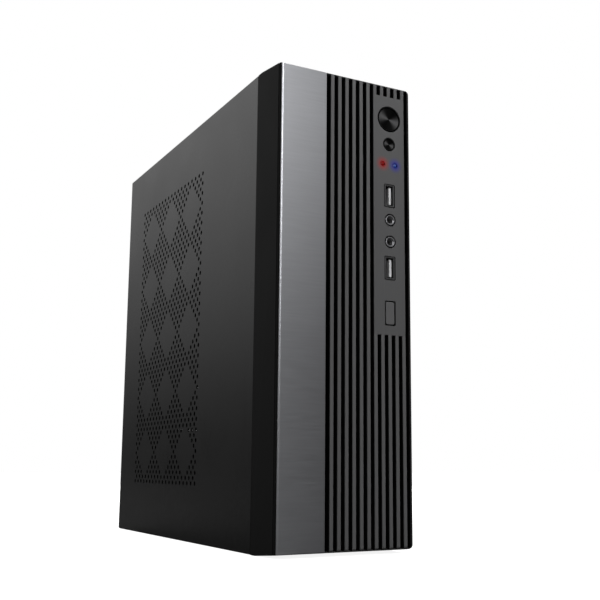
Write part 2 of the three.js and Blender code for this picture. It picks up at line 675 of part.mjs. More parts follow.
const INLET = { x: -15, z: 282, width: 27, height: 20, cavity: [24, 16.5], depth: 17 };
const ROCKER = { x: 18, z: 282, width: 13, height: 19, tilt: 8, pivot: REAR_WALL - 3.2 };
const SUPPLY_FAN = {
  x: (SUPPLY.x[0] + SUPPLY.x[1]) / 2, y: 90, size: 80, thickness: 20, duct: 38, motor: 17, hub: 16,
};
const FLANGE = { reach: 1.6, thickness: 1.7 };
FLANGE.y = [SUPPLY.y[1] + GAP, SUPPLY.y[1] + GAP + FLANGE.thickness];

function supplyCase() {
  const shrink = ([low, high]) => [low + SHEET, high - SHEET];
  const throughRear = [SUPPLY.y[1] - 2, SUPPLY.y[1] + 1];
  const slots = [];
  for (let i = 0; i < 4; i += 1) {
    slots.push(block([30 + 3.6 * i, 32 + 3.6 * i], throughRear, centred(INLET.z, 36)));
  }
  return without(block(SUPPLY.x, SUPPLY.y, SUPPLY.z), [
    block(shrink(SUPPLY.x), shrink(SUPPLY.y), shrink(SUPPLY.z)),
    rod('z', [SUPPLY_FAN.x, SUPPLY_FAN.y], SUPPLY_FAN.duct - 1, [SUPPLY.z[0] - 1, SUPPLY.z[0] + 2], 32),
    block(centred(INLET.x, INLET.width + 2 * GAP), throughRear, centred(INLET.z, INLET.height + 2 * GAP)),
    block(centred(ROCKER.x, ROCKER.width + 2 * GAP), throughRear, centred(ROCKER.z, ROCKER.height + 2 * GAP)),
    ...slots,
  ]);
}

// Panel-mounted body with a flange outside the supply's rear skin and a hollow inside
function flangedBody({ x, z, width, height }, cavity, depth) {
  const reach = 2 * FLANGE.reach;
  const innerEnd = FLANGE.y[0] - depth;
  return joined([
    block(centred(x, width), [innerEnd, FLANGE.y[1]], centred(z, height)),
    block(centred(x, width + reach), FLANGE.y, centred(z, height + reach)),
  ]).subtract(block(centred(x, cavity[0]), [innerEnd + 2, FLANGE.y[1] + 1], centred(z, cavity[1])));
}

// Mains inlet with its three blades
function acInlet() {
  const blade = { width: 2, height: 4, spacing: 7 };
  const bladeY = [FLANGE.y[0] - INLET.depth + 1, FLANGE.y[0] - 2];
  const blades = [[-blade.spacing, -1.5], [blade.spacing, -1.5], [0, 2.5]].map(([x, z]) =>
    block(centred(INLET.x + x, blade.width), bladeY, centred(INLET.z + z, blade.height)));
  return joined([flangedBody(INLET, INLET.cavity, INLET.depth), ...blades]);
}

const ROCKER_CAVITY = [10.6, 16.6];

const rockerHousing = () => flangedBody(ROCKER, ROCKER_CAVITY, 14);

// Rocker about X: a shallow V whose two halves stand out in turn
function rockerPaddle() {
  const half = 7.5;
  return prism([[-1.5, -half], [3.2, -half], [2.2, 0], [3.2, half], [-1.5, half]], 'x', -5, 5);
}

// Circuit board of the supply under its top, with the transformer and capacitors hanging down
function supplyBoard() {
  const top = SUPPLY.z[1] - SHEET - GAP;
  const board = block([-33, 44], [-16, 40], [top - BOARD.thickness, top]);
  const transformer = block([-22, 8], [-4, 24], [top - 34, top - 1]);
  const capacitors = [2, 26].map((y) => rod('z', [26, y], 9, [top - 32, top - 1], 20));
  return joined([board, transformer, ...capacitors]);
}

function buildSupply() {
  const supply = assembly();
  place(supply, 'psu_case', supplyCase(), zincSteel);
  const { x, y, size, thickness, duct, motor, hub } = SUPPLY_FAN;
  const seat = SUPPLY.z[0] + SHEET + GAP;
  place(supply, 'psu_fan_frame', fanFrame(size, thickness, duct, motor), blackPlastic, [x, y, seat]);
  place(supply, 'psu_fan_rotor', fanRotor(hub, duct - 1, thickness - 4, 7), blackPlastic, [x, y, seat + 1.5]);
  place(supply, 'psu_circuit_board', supplyBoard(), boardGreen);
  place(supply, 'ac_inlet', acInlet(), blackPlastic);
  place(supply, 'rocker_housing', rockerHousing(), blackPlastic);
  place(supply, 'power_rocker', rockerPaddle(), blackPlastic, [ROCKER.x, ROCKER.pivot, ROCKER.z],
    [THREE.MathUtils.degToRad(ROCKER.tilt), 0, 0]);
}

// ---------------------------------------------------------------- drive and internal leads

function buildDrive() {
  const drive = assembly();
  const y = [CASE_FRONT + 4, CASE_FRONT + 104];
  const plate = [-1.7, -0.7];
  const shell = { thickness: 7, height: 70 };
  const bracket = joined([
    block(plate, y, [INSIDE_TOP - shell.height - 4, INSIDE_TOP]),
    block([plate[0], plate[1] + 13], y, [INSIDE_TOP - SHEET, INSIDE_TOP]),
  ]);
  place(drive, 'drive_bracket', bracket, zincSteel);
  const driveX = [plate[0] - GAP - shell.thickness, plate[0] - GAP];
  const driveZ = [INSIDE_TOP - 2 - shell.height, INSIDE_TOP - 2];
  place(drive, 'solid_state_drive', block(driveX, y, driveZ), chipBlack);
}

// Round lead through hand-placed points
function lead(points, radius, steps) {
  const path = new THREE.CatmullRomCurve3(points.map((point) => new THREE.Vector3(...point)));
  const section = new THREE.Shape();
  const sides = 8;
  for (let i = 0; i < sides; i += 1) {
    const angle = (i / sides) * 2 * Math.PI;
    const corner = [radius * Math.cos(angle), radius * Math.sin(angle)];
    if (i === 0) section.moveTo(...corner);
    else section.lineTo(...corner);
  }
  section.closePath();
  return solid(new THREE.ExtrudeGeometry(section, { steps, extrudePath: path, bevelEnabled: false }));
}

function buildLeads() {
  const leads = assembly();
  place(leads, 'board_power_lead', lead([
    [20, SUPPLY.y[0] - GAP, 268], [20, -30, 268], [19, -45, 267], [17, -62, 262], [13, -77, 245],
    [11, -82, 222], [12, -82, 200], [15, -81, 189], [22, -81, 186], [ON_BOARD - 12 - GAP, -81, 186],
  ], 4.5, 26), cableBlack);
  place(leads, 'front_board_lead', lead([
    [34, FRONT_BOARD.y + FRONT_BOARD.thickness + GAP, 152], [34, -142, 152], [33.6, -138, 147],
    [32, -136, 135], [30, -135, 110], [28, -134, 86], [IO_CABLE_HOLE.x, CASE_FRONT, IO_CABLE_HOLE.z],
    [24, -116, 56], [21, -100, 42], [19, -86, 30], [24, -76, 23], [34, -75, 23], [ON_BOARD, -75, 23],
  ], 2.5, 36), cableBlack);
}

buildFront();
buildCase();
buildSlots();
buildBoard();
buildSupply();
buildDrive();
buildLeads();

export default tower;
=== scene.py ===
"""Looks of a slim desktop computer tower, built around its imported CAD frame.

Metres, in the frame of the CAD: X to the right seen from the front, the front faces -Y, Z up.
"""
import json
import math
import random

import bmesh
import bpy
from mathutils import Matrix, Vector

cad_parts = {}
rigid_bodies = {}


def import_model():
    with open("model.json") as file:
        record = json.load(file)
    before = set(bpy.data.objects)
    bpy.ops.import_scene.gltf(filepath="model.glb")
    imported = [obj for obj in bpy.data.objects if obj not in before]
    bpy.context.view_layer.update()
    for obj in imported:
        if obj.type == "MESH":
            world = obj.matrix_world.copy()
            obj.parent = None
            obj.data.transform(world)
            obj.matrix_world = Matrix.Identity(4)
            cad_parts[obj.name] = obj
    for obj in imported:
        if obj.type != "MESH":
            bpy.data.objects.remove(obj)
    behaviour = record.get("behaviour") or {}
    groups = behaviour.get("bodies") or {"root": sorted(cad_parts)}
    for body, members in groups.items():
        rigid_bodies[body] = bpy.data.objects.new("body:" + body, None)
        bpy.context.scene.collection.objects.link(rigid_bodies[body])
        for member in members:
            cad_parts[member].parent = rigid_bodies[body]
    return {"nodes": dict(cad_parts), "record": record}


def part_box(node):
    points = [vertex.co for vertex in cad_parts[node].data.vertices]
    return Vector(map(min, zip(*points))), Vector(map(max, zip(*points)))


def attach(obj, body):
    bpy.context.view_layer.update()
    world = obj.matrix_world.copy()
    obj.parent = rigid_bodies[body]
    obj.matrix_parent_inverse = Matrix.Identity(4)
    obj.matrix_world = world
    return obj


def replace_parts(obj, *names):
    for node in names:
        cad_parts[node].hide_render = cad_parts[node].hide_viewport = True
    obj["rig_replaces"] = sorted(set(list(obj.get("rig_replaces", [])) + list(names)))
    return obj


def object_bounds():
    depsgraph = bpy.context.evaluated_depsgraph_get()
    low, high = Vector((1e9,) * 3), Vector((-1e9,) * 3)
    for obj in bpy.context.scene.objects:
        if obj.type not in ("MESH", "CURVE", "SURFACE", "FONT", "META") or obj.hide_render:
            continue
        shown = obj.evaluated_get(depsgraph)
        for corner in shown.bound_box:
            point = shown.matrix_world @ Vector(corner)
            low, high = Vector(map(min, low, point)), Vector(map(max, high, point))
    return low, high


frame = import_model()
cad_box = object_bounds()

MM = 0.001
LOW, HIGH = (Vector(corner) for corner in cad_box)
BODIES = frame["record"]["behaviour"]["bodies"]
BODY_OF = {node: body for body, nodes in BODIES.items() for node in nodes}
SLOT_OF = {part["node"]: part["material_slot"] for part in frame["record"]["subparts"]}


# ------------------------------------------------------------------ camera

CAMERA_PLACE = (-0.30062, -0.68204, 0.05577)
CAMERA_ANGLES = (29.193, 9.53, 0.204)   # heading to the right, tilt upwards and roll, in degrees
CAMERA_LENS = 56.02                     # mm, with a sensor 36 mm wide
CAMERA_SHIFT = (-0.0541, 0.0150)        # sideways and upwards, in widths of the picture


def make_camera():
    """The photograph's viewpoint: low, in front of the left edge, looking slightly up."""
    heading, tilt, roll = (math.radians(angle) for angle in CAMERA_ANGLES)
    forward = Vector((
        math.sin(heading) * math.cos(tilt), math.cos(heading) * math.cos(tilt), math.sin(tilt)))
    level = Vector((math.cos(heading), -math.sin(heading), 0))
    upright = level.cross(forward)
    right = level * math.cos(roll) + upright * math.sin(roll)
    up = upright * math.cos(roll) - level * math.sin(roll)
    data = bpy.data.cameras.new("camera")
    data.sensor_width = 36
    data.lens = CAMERA_LENS
    data.shift_x, data.shift_y = CAMERA_SHIFT
    data.clip_start = 0.01
    camera = bpy.data.objects.new("camera", data)
    rotation = Matrix((right, up, -forward)).transposed().to_4x4()
    camera.matrix_world = Matrix.Translation(CAMERA_PLACE) @ rotation
    bpy.context.scene.collection.objects.link(camera)
    bpy.context.scene.camera = camera


make_camera()


# ------------------------------------------------------------------ shader helpers

class Shader:
    """A node material around one Principled shader; settings name its sockets, with _ for a space."""

    def __init__(self, name, **settings):
        self.material = bpy.data.materials.new(name)
        self.material.use_nodes = True
        self.tree = self.material.node_tree
        self.surface = self.tree.nodes["Principled BSDF"]
        for socket, value in settings.items():
            self.surface.inputs[socket.replace("_", " ")].default_value = value

    def node(self, kind, inputs=None, **properties):
        made = self.tree.nodes.new(kind)
        for name, value in properties.items():
            setattr(made, name, value)
        for socket, value in (inputs or {}).items():
            if isinstance(value, bpy.types.NodeSocket):
                self.tree.links.new(value, made.inputs[socket])
            else:
                made.inputs[socket].default_value = value
        return made

    def math(self, operation, a, b=0.0):
        return self.node("ShaderNodeMath", {0: a, 1: b}, operation=operation).outputs[0]

    def vector_math(self, operation, inputs, output="Vector"):
        return self.node("ShaderNodeVectorMath", inputs, operation=operation).outputs[output]

    def blend(self, a, share, b):
        """That share of a, and the rest of b."""
        return self.math("ADD", self.math("MULTIPLY", a, share), self.math("MULTIPLY", b, 1 - share))

    def point(self, stretch=(1, 1, 1)):
        """Object coordinates in metres, stretched per axis."""
        coordinates = self.node("ShaderNodeTexCoord").outputs["Object"]
        return self.node("ShaderNodeMapping", {"Vector": coordinates, "Scale": stretch}).outputs[0]

    def axis(self, vector, name):
        return self.node("ShaderNodeSeparateXYZ", {0: vector}).outputs[name]

    def noise(self, vector, scale, detail, roughness=0.55):
        inputs = {"Vector": vector, "Scale": scale, "Detail": detail, "Roughness": roughness}
        return self.node("ShaderNodeTexNoise", inputs).outputs["Fac"]

    def remap(self, value, low, high, out_low, out_high):
        return self.node("ShaderNodeMapRange", {
            "Value": value, "From Min": low, "From Max": high,
            "To Min": out_low, "To Max": out_high}).outputs["Result"]

    def mix(self, factor, a, b):
        made = self.node("ShaderNodeMix", {"Factor": factor}, data_type="RGBA")
        for socket, value in (("A", a), ("B", b)):
            target = next(i for i in made.inputs if i.name == socket and i.type == "RGBA")
            if isinstance(value, bpy.types.NodeSocket):
                self.tree.links.new(value, target)
            else:
                target.default_value = (*value, 1)
        return next(o for o in made.outputs if o.type == "RGBA")

    def set(self, socket, value):
        self.tree.links.new(value, self.surface.inputs[socket])

    def dim(self, factor):
        """Scales the colour that the surface has so far."""
        base = self.surface.inputs["Base Color"].links[0].from_socket
        self.set("Base Color", self.vector_math("SCALE", {0: base, "Scale": factor}))

    def bump(self, height, distance):
        made = self.node("ShaderNodeBump", {"Height": height, "Distance": distance})
        self.set("Normal", made.outputs["Normal"])


def shaded(color, amount):
    return tuple(channel * amount for channel in color)


def textured(name, color, roughness, grain=0.0004, relief=0.00002, spread=0.12,
             metallic=0.0, specular=0.5):
    """Moulded or coated surface: a fine raised grain, with faint unevenness in colour and gloss."""
    shader = Shader(name, Metallic=metallic, Specular_IOR_Level=specular)
    place = shader.point()
    broad = shader.noise(place, 18, 3)
    fine = shader.noise(place, 1 / grain, 2)
    shader.set("Base Color", shader.mix(broad, shaded(color, 1 - spread), shaded(color, 1 + spread)))
    uneven = shader.blend(broad, 0.5, fine)
    shader.set("Roughness", shader.remap(uneven, 0.3, 0.7, roughness - 0.05, roughness + 0.07))
    shader.bump(fine, relief)
    return shader


def brushed(name, color, roughness, stretch, spread=0.1, relief=0.000006, metallic=1.0):
    """Metal with fine straight scratches; stretch is small along the scratches and large across them."""
    shader = Shader(name, Metallic=metallic)
    scratches = shader.noise(shader.point(stretch), 1.0, 6, 0.7)
    broad = shader.noise(shader.point(), 25, 3)
    tone = shader.blend(scratches, 0.7, broad)
    shader.set("Base Color", shader.mix(tone, shaded(color, 1 - spread), shaded(color, 1 + spread)))
    shader.set("Roughness", shader.remap(scratches, 0.3, 0.7, roughness - 0.06, roughness + 0.08))
    shader.bump(scratches, relief)
    return shader


# ------------------------------------------------------------------ the front's own measures

def middle(node):
    low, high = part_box(node)
    return (low + high) / 2


def button_radius(node):
    """Radius of a button's face; its flange is behind the bezel's wall."""
    low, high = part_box(node)
    return (high.x - low.x) / 2 - BUTTON_FLANGE


GROOVE_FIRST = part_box("bezel_trim")[1].x + 0.3 * MM
GROOVE_PITCH = 5.54 * MM
GROOVE_WIDTH = 2.8 * MM
GROOVE_COUNT = 12
GROOVE_ENDS = (3.1 * MM, 315.7 * MM)
FACE_ENDS = (2.5 * MM, 316.3 * MM)      # lower and upper edge of the front face
FACE_SLOPE = (-2.5 / 29, 3.7 / 29)      # rise of the surfaces that run back from them
FIN_ROUND = 0.5 * MM
HOLE_ROUND = 0.3 * MM

# The control strip interrupts some grooves, and reaches to the grooves on either side of them
STRIP_GROOVES = (7, 8, 9, 10)
STRIP_ENDS = (141.7 * MM, 308.6 * MM)
STRIP_SIDES = (
    GROOVE_FIRST + (STRIP_GROOVES[0] - 1) * GROOVE_PITCH + GROOVE_WIDTH,
    GROOVE_FIRST + (STRIP_GROOVES[-1] + 1) * GROOVE_PITCH)
STRIP_TONE = 0.82

BUTTON_FLANGE = 1.2 * MM                # how far it reaches out beyond the button's face
# Painted highlight: tilt of the bright wedges painted on the buttons
PAINTED_HIGHLIGHT_TILT = math.radians(-16)           # of the bright wedges on the buttons, from level

# How much wider in radius the bezel's hole is than the control; a button is measured at its flange
HOLE_CLEARANCE = {
    "power_button": -0.85 * MM,
    "reset_button": -0.85 * MM,
    "headphone_jack": 0.75 * MM,
    "microphone_jack": 0.75 * MM,
}

# Lens node, and the colours of the painted glow of its light on the plastic right around the lens and in
# the halo around that
STATUS_LIGHTS = (
    ("drive_led_lens", (0.16, 0.004, 0.004), (0.16, 0.0, 0.0)),
    ("power_led_lens", (0.006, 0.012, 0.12), (0.0, 0.0, 0.15)),
)
# Painted glow around the status lights: its size and softness, and how much it tints the plastic's
# colour
CORE_RADIUS = 2.3 * MM
HALO_RADIUS = 6.2 * MM
CORE_SOFTNESS = 0.3 * MM
CORE_TONE = 0.08                        # share of the plastic's own colour that is left there
HALO_TONE = 0.42

# Heights between which a painted shade lifts: a colour grows from its share at the bottom to its full
# strength
# Painted shade on the side panel: darker towards the floor
SIDE_SHADE_HEIGHTS = (30 * MM, 150 * MM)
SIDE_SHADE_DARKEST = 0.15
# Painted light and shade on the trim: darker downwards and towards its right edge
TRIM_SHADE_HEIGHTS = (130 * MM, 290 * MM)
TRIM_SHADE_DARKEST = 0.68
TRIM_LIGHT_SIDES = (1.06, 0.78)               # strength of the trim's colour at its left and right edge


# ------------------------------------------------------------------ materials

def zinc(name, color):
    """Zinc-plated sheet: a faint crystal pattern on a satin metal."""
    shader = Shader(name, Metallic=0.9)
    crystals = shader.node("ShaderNodeTexVoronoi", {"Vector": shader.point(), "Scale": 160.0})
    fine = shader.noise(shader.point(), 900, 3)
    tone = shader.blend(crystals.outputs["Distance"], 0.6, fine)
    shader.set("Base Color", shader.mix(tone, shaded(color, 0.8), shaded(color, 1.2)))
    shader.set("Roughness", shader.remap(tone, 0.2, 0.8, 0.33, 0.5))
    shader.bump(fine, 0.000008)
    return shader.material


def circuit_board(name):
    """Solder mask with patches of fine copper tracks showing through."""
    shader = Shader(name)
    place = shader.point()
    turned = shader.node("ShaderNodeMapping", {"Vector": place, "Rotation": (0, math.radians(90), 0)})
    tracks = shader.node("ShaderNodeTexBrick", {
        "Vector": turned.outputs[0], "Scale": 170.0, "Mortar Size": 0.03}).outputs["Fac"]
    patch = shader.remap(shader.noise(place, 60, 2), 0.45, 0.55, 0.0, 1.0)
    shown = shader.math("MULTIPLY", tracks, patch)
    shader.set("Base Color", shader.mix(shown, (0.012, 0.055, 0.030), (0.030, 0.105, 0.055)))
    shader.set("Roughness", shader.remap(shown, 0, 1, 0.38, 0.3))
    shader.bump(shown, 0.00003)
    return shader.material


def side_paint():
    """Satin powder coat of the side panel, with painted shade that darkens it towards the floor."""
    shader = textured("side_paint", (0.011, 0.011, 0.011), 0.29,
                      grain=0.0005, relief=0.000006, spread=0.05)
    height = shader.axis(shader.point(), "Z")
    # painted shade: the colour is dimmed towards the floor
    shader.dim(shader.remap(height, *SIDE_SHADE_HEIGHTS, SIDE_SHADE_DARKEST, 1.0))
    return shader.material


def spun_metal(node, rim):
    """Black metal face with turning marks around its centre, and a painted highlight in wedges to the
    left and right.
    """
    shader = Shader(node + "_metal", Metallic=1.0, Anisotropic=0.8)
    across = shader.point((1, 0, 1))
    reach = shader.vector_math("LENGTH", {0: across}, "Value")
    rings = shader.node("ShaderNodeTexNoise", {"W": reach, "Scale": 4200.0, "Detail": 3.0},
                        noise_dimensions="1D").outputs["Fac"]
    # painted highlight: bright wedges in the base colour, fixed to the face
    highlight_axis = (math.cos(PAINTED_HIGHLIGHT_TILT), 0, math.sin(PAINTED_HIGHLIGHT_TILT))
    sweep = shader.vector_math("DOT_PRODUCT", {0: across, 1: highlight_axis}, "Value")
    slant = shader.math("DIVIDE", sweep, shader.math("MAXIMUM", reach, 0.1 * MM))
    painted_highlight = shader.math("POWER", shader.math("ABSOLUTE", slant), 8.0)
    tone = shader.math("MULTIPLY", painted_highlight, shader.remap(rings, 0.3, 0.7, 0.7, 1.15))
    edge = button_radius(node) - rim
    tone = shader.math("MULTIPLY", tone, shader.remap(reach, edge - 0.2 * MM, edge + 0.1 * MM, 1.0, 0.0))
    shader.set("Base Color", shader.mix(tone, (0.003, 0.003, 0.003), (0.16, 0.16, 0.162)))
    shader.set("Roughness", shader.remap(rings, 0.3, 0.7, 0.28, 0.4))
    shader.set("Tangent", shader.node("ShaderNodeTangent", direction_type="RADIAL", axis="Y").outputs[0])
    shader.bump(rings, 0.000004)
    return shader.material


def trim_metal(name):
    """Satin grey metal with fine brushing across it, with painted light that makes it paler towards its
    left edge and its top.
    """
    shader = brushed(name, (0.46, 0.465, 0.488), 0.34, (60, 60, 2600),
                     spread=0.06, relief=0.000002, metallic=0.8)
    low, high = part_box("bezel_trim")
    across = shader.remap(shader.axis(shader.point(), "X"), low.x, high.x, *TRIM_LIGHT_SIDES)
    upward = shader.remap(shader.axis(shader.point(), "Z"), *TRIM_SHADE_HEIGHTS, TRIM_SHADE_DARKEST, 1.0)
    # painted light and shade: the colour falls off to the right and downwards
    painted_light = shader.math("MULTIPLY", across, upward)
    streaks = shader.noise(shader.point((45, 45, 900)), 1.0, 3)
    shader.dim(shader.math("MULTIPLY", painted_light, shader.remap(streaks, 0.3, 0.7, 0.97, 1.03)))
    return shader.material


def lens_plastic(name, color, glow, strength, specular=0.5):
    """Lit light pipe: brightest in the middle of its face."""
    shader = Shader(name, Roughness=0.15, Specular_IOR_Level=specular, Emission_Strength=strength)
    reach = shader.vector_math("LENGTH", {0: shader.point((1, 0, 1))}, "Value")
    core = shader.remap(reach, 0.0, 1.3 * MM, 1.0, 0.0)
    haze = shader.noise(shader.point(), 1500, 2)
    shader.set("Base Color", shader.mix(haze, shaded(color, 0.8), color))
    shader.set("Emission Color", shader.mix(core, color, glow))
    return shader.material


def bezel_plastic(name, color, roughness):
    """Fine-grained moulded plastic, with the light of the two status lights on it painted as a glow and
    tint around each.
    """
    shader = textured(name, color, roughness, grain=0.00035, relief=0.000012, spread=0.06)
    place = shader.point()
    right_of_fins = shader.math("GREATER_THAN", shader.axis(place, "X"), STRIP_SIDES[0])
    left_of_edge = shader.math("LESS_THAN", shader.axis(place, "X"), STRIP_SIDES[1])
    above_fins = shader.math("GREATER_THAN", shader.axis(place, "Z"), STRIP_ENDS[0])
    on_strip = shader.math("MULTIPLY", above_fins, shader.math("MULTIPLY", right_of_fins, left_of_edge))
    strip_tone_and_glow_tint = shader.remap(on_strip, 0, 1, 1.0, STRIP_TONE)
    glow = None
    # painted light: each status light's glow on the plastic, fading with distance, and a tint of its
    # colour
    for node, core, halo in STATUS_LIGHTS:
        spot = middle(node)
        spot.y = LOW.y
        away = shader.vector_math("DISTANCE", {0: place, 1: spot}, "Value")
        inside = shader.remap(away, CORE_RADIUS + CORE_SOFTNESS, CORE_RADIUS - CORE_SOFTNESS, 0.0, 1.0)
        fall = shader.math("POWER", shader.remap(away, CORE_RADIUS, HALO_RADIUS, 1.0, 0.0), 1.5)
        ring = shader.mix(inside, halo, core)
        tinted = shader.vector_math("SCALE", {0: ring, "Scale": fall})
        glow = tinted if glow is None else shader.vector_math("ADD", {0: glow, 1: tinted})
        for part, tone in ((inside, CORE_TONE), (fall, HALO_TONE)):
            strip_tone_and_glow_tint = shader.math("MULTIPLY", strip_tone_and_glow_tint, shader.remap(part, 0, 1, 1.0, tone))
    shader.dim(strip_tone_and_glow_tint)
    shader.set("Emission Color", glow)
    shader.surface.inputs["Emission Strength"].default_value = 1.0
    return shader.material


MATERIALS = {
    "bezel_plastic": bezel_plastic("front_plastic", (0.105, 0.105, 0.107), 0.5),
    "trim_metal": trim_metal("trim_metal"),
    "case_paint": textured(
        "case_paint", (0.024, 0.024, 0.025), 0.45, relief=0.00001, metallic=0.2).material,
    "zinc_steel": zinc("zinc_steel", (0.2, 0.2, 0.205)),
    "port_plastic": textured("port_plastic", (0.03, 0.03, 0.031), 0.4, relief=0.00001).material,
    "tongue_plastic": textured("tongue_plastic", (0.75, 0.75, 0.76), 0.35, relief=0.000005).material,
    "jack_metal": brushed("jack_metal", (0.25, 0.25, 0.26), 0.34, (900, 60, 60)).material,
    "jack_lining": textured("jack_lining", (0.2, 0.2, 0.202), 0.5).material,
    "bright_steel": brushed("bright_steel", (0.62, 0.63, 0.65), 0.3, (900, 60, 60)).material,
    "black_plastic": textured("black_plastic", (0.012, 0.012, 0.012), 0.45).material,
    "circuit_board": circuit_board("circuit_board"),
    "fin_aluminium": brushed("fin_aluminium", (0.6, 0.61, 0.62), 0.35, (60, 1200, 60)).material,
    "drive_shell": brushed(
        "drive_shell", (0.05, 0.05, 0.055), 0.4, (60, 60, 900), metallic=0.7).material,
    "lead_sheath": textured(
        "lead_sheath", (0.012, 0.012, 0.012), 0.6, grain=0.001, relief=0.0002).material,
    "red_lens": lens_plastic("red_lens", (0.10, 0.002, 0.002), (0.13, 0.004, 0.004), 0.7, specular=0.15),
    "blue_lens": lens_plastic("blue_lens", (0.006, 0.016, 0.10), (0.04, 0.085, 0.30), 0.8),
}
SIDE_PAINT = side_paint()
# Painted shade: the left side of the bezel is a much darker copy of its plastic than the right side
SHADED_SIDE_PLASTIC = textured(
    "shaded_side_plastic", (0.004, 0.004, 0.004), 0.62, relief=0.000012, specular=0.1).material
RIGHT_PLASTIC = textured(
    "right_plastic", (0.016, 0.016, 0.0165), 0.6, relief=0.000012, specular=0.2).material
# Painted shade: near-black plastic for the faces inside the grooves
GROOVE_SHADE_PLASTIC = textured(
    "groove_shade_plastic", (0.003, 0.003, 0.003), 0.7, relief=0.00001, specular=0.1).material
# Painted shade: near-black paint for the chassis front wall, so the slots behind the grooves read as
# shade
SHADE_BLACK_PAINT = textured("shade_black_paint", (0.006, 0.006, 0.006), 0.7, relief=0.00001).material


# ------------------------------------------------------------------ mesh helpers

def new_object(name, mesh):
    made = bpy.data.objects.new(name, mesh)
    bpy.context.scene.collection.objects.link(made)
    return made


def evaluated(piece):
    """Applies a piece's modifiers."""
    bpy.context.view_layer.update()
    graph = bpy.context.evaluated_depsgraph_get()
    mesh = bpy.data.meshes.new_from_object(piece.evaluated_get(graph))
    piece.modifiers.clear()
    piece.data = mesh


def smooth(piece, angle=32):
    piece.data.shade_smooth()
    piece.data.set_sharp_from_angle(angle=math.radians(angle))


def paint(piece, *materials):
    piece.data.materials.clear()
    for material in materials:
        piece.data.materials.append(material)


def stand_for(piece, *nodes):
    """The piece replaces CAD nodes, on their body."""
    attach(piece, BODY_OF[nodes[0]])
    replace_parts(piece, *nodes)


def as_object(shape, name):
    mesh = bpy.data.meshes.new(name)
    shape.to_mesh(mesh)
    shape.free()
    return new_object(name, mesh)


def cad_shape(node):
    """A closed copy of a CAD node's mesh."""
    shape = bmesh.new()
    shape.from_mesh(frame["nodes"][node].data)
    bmesh.ops.remove_doubles(shape, verts=shape.verts, dist=1e-6)
    return shape


def welded(node):
    """A closed copy of a CAD node's mesh, as an object."""
    return as_object(cad_shape(node), node + "_shape")


def flattened(piece, angle=0.5):
    """Merges the triangles of each flat face."""
    shape = bmesh.new()
    shape.from_mesh(piece.data)
    bmesh.ops.dissolve_limit(
        shape, angle_limit=math.radians(angle), verts=shape.verts, edges=shape.edges)
    shape.to_mesh(piece.data)
    shape.free()


def round_edges(piece, width, segments, angle):
    bevel = piece.modifiers.new("round", "BEVEL")
    bevel.width = width
    bevel.segments = segments
    bevel.limit_method = "ANGLE"
    bevel.angle_limit = math.radians(angle)
    bevel.miter_outer = "MITER_ARC"
    evaluated(piece)


def volume(piece):
    shape = bmesh.new()
    shape.from_mesh(piece.data)
    size = shape.calc_volume()
    shape.free()
    return size


def boolean(piece, cutter, operation="DIFFERENCE"):
    """Cuts one closed mesh with another, and removes the cutter."""
    before = volume(piece)
    cut = piece.modifiers.new("cut", "BOOLEAN")
    cut.operation = operation
    cut.solver = "MANIFOLD"
    cut.object = cutter
    evaluated(piece)
    if abs(volume(piece) - before) < 1e-6 * before:
        raise RuntimeError(f"{cutter.name} does not cut {piece.name}")
    bpy.data.objects.remove(cutter)


def weight_normals(piece):
    """Keeps big flat faces flat where they meet small roundings."""
    weighted = piece.modifiers.new("weighted", "WEIGHTED_NORMAL")
    weighted.keep_sharp = True
    weighted.weight = 100
    evaluated(piece)


def extruded(shape, outline, low, high, place):
    """Adds a prism to shape: its outline is in (u, v), it runs from low to high in w, and place maps
    (u, v, w) to a point. Returns its faces."""
    ends = []
    for w in (low, high):
        ends.append([shape.verts.new(place(u, v, w)) for u, v in outline])
    near, far = ends
    faces = [shape.faces.new(near), shape.faces.new(list(reversed(far)))]
    for k in range(len(outline)):
        following = (k + 1) % len(outline)
        faces.append(shape.faces.new([near[following], near[k], far[k], far[following]]))
    bmesh.ops.recalc_face_normals(shape, faces=faces)
    return faces


def hull_of(piece):
    """The convex form around a piece, with the triangles of each flat side merged."""
    shape = bmesh.new()
    for vertex in piece.data.vertices:
        shape.verts.new(vertex.co)
    hull = bmesh.ops.convex_hull(shape, input=shape.verts)
    inner = {v for v in hull["geom_interior"] + hull["geom_unused"] if isinstance(v, bmesh.types.BMVert)}
    bmesh.ops.delete(shape, geom=list(inner), context="VERTS")
    envelope = as_object(shape, piece.name + "_hull")
    flattened(envelope, 1)
    return envelope


def finished(piece, *materials):
    """Shades a piece smooth where it curves, and gives it its materials."""
    smooth(piece)
    weight_normals(piece)
    paint(piece, *materials)


def refined(node, width):
    """A CAD node's own shape; the edges of a convex one are rounded."""
    piece = welded(node)
    hull = hull_of(piece)
    convex = volume(piece) > 0.9999 * volume(hull)
    if convex:
        piece.data = hull.data
        round_edges(piece, width, 2, 40)
    bpy.data.objects.remove(hull)
    finished(piece, MATERIALS[SLOT_OF[node]])
    stand_for(piece, node)


def rounded_rectangle(half_width, half_height, radius, steps=6):
    """Corners of a rounded rectangle about the origin, as (x, z)."""
    corners = []
    for quarter, (side, end) in enumerate(((1, 1), (-1, 1), (-1, -1), (1, -1))):
        for k in range(steps + 1):
            angle = math.radians(90) * (quarter + k / steps)
            corners.append((side * (half_width - radius) + radius * math.cos(angle),
                            end * (half_height - radius) + radius * math.sin(angle)))
    return corners


